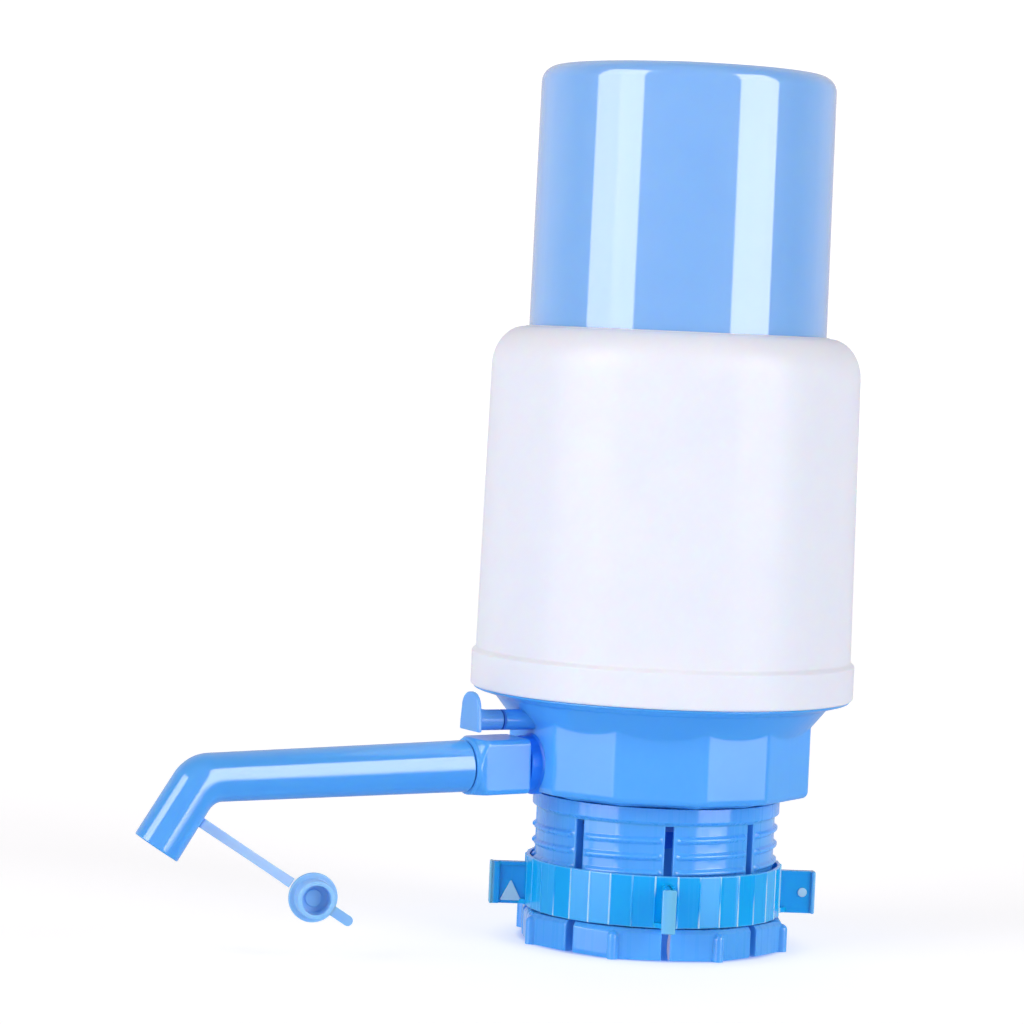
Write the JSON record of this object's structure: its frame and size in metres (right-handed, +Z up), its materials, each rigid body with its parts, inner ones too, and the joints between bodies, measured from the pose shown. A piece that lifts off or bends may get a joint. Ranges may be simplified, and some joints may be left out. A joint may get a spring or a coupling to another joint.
{
  "type": "bottle hand pump",
  "caption": "Hand pump that clamps on a water bottle's neck: a press cap works bellows in a casing, and water leaves through a bent side spout with a tethered plug.",
  "frame": {"origin": "On the ground, under the middle of the whole pump's bounding box. The pump's own axis is upright at x = 47.7 mm, y = 0.", "axes": "+Z is up, along the press stroke. The spout points along -X. +Y is to the left of someone who stands at the pump and looks along the spout's run from its mouth to its root."},
  "size_m": [0.1938, 0.0984, 0.2253],
  "materials": {
    "blue_abs": "glossy cornflower blue, moulded",
    "pale_blue_pe": "satin, slightly translucent",
    "white_pp": "glossy milky white",
    "cyan_pp": "glossy translucent cyan",
    "natural_pp": "satin, undyed",
    "silicone": "soft, milky",
    "black_rubber": "soft, black",
    "stainless_steel": "bright"
  },
  "bodies": {
    "base": {"base_body": "blue_abs", "bellows": "silicone", "clamp_ring": "natural_pp", "clamp_screw_1": "stainless_steel", "clamp_screw_2": "stainless_steel", "clamp_screw_3": "stainless_steel", "clamp_screw_4": "stainless_steel", "collet_screw_1": "stainless_steel", "collet_screw_2": "stainless_steel", "collet_screw_3": "stainless_steel", "collet_screw_4": "stainless_steel", "neck_collet": "blue_abs", "neck_gasket": "silicone", "nipple_oring_inner": "black_rubber", "nipple_oring_outer": "black_rubber", "outer_shell": "white_pp", "outlet_nipple": "natural_pp", "outlet_valve": "silicone", "plate_gasket": "silicone", "riser_elbow": "natural_pp", "riser_seal": "silicone", "spout_connector": "blue_abs", "spout_tube": "blue_abs", "valve_plate": "natural_pp", "vent_washer": "black_rubber"},
    "plunger": {"push_cap": "blue_abs", "bellows_plug": "natural_pp", "inlet_valve": "silicone"},
    "ring": {"lock_ring": "cyan_pp"},
    "vent": {"vent_lever": "pale_blue_pe", "vent_clip": "stainless_steel", "vent_spring": "stainless_steel"},
    "strap": {"cap_strap": "pale_blue_pe"},
    "stopper": {"spout_cap": "pale_blue_pe"}
  },
  "joints": [
    {"name": "cap_press", "type": "slide", "parent": "base", "child": "plunger", "axis": [0, 0, -1], "range_m": [0, 0.06], "stiffness_N_per_m": 700, "springref_m": -0.005, "deforming": ["bellows"]},
    {"name": "ring_turn", "type": "hinge", "parent": "base", "child": "ring", "pos_m": [0.04773, 0, 0.0147], "axis": [0, 0, 1], "range_deg": [0, 60]},
    {"name": "vent_tilt", "type": "hinge", "parent": "base", "child": "vent", "pos_m": [0.00056, 0, 0.055], "axis": [0, -1, 0], "range_deg": [0, 4.5], "stiffness_Nm_per_rad": 0.1, "springref_deg": -4.58},
    {"name": "strap_bend", "type": "hinge", "parent": "base", "child": "strap", "pos_m": [-0.07959, 0, 0.03331], "axis": [0.5231, -0.1351, 0.8415], "range_deg": [-40, 40], "stiffness_Nm_per_rad": 0.01},
    {"name": "plug_fold", "type": "hinge", "parent": "strap", "child": "stopper", "pos_m": [-0.05861, -0.00542, 0.0194], "axis": [0.5231, -0.1351, 0.8415], "range_deg": [-60, 60], "stiffness_Nm_per_rad": 0.005}
  ]
}
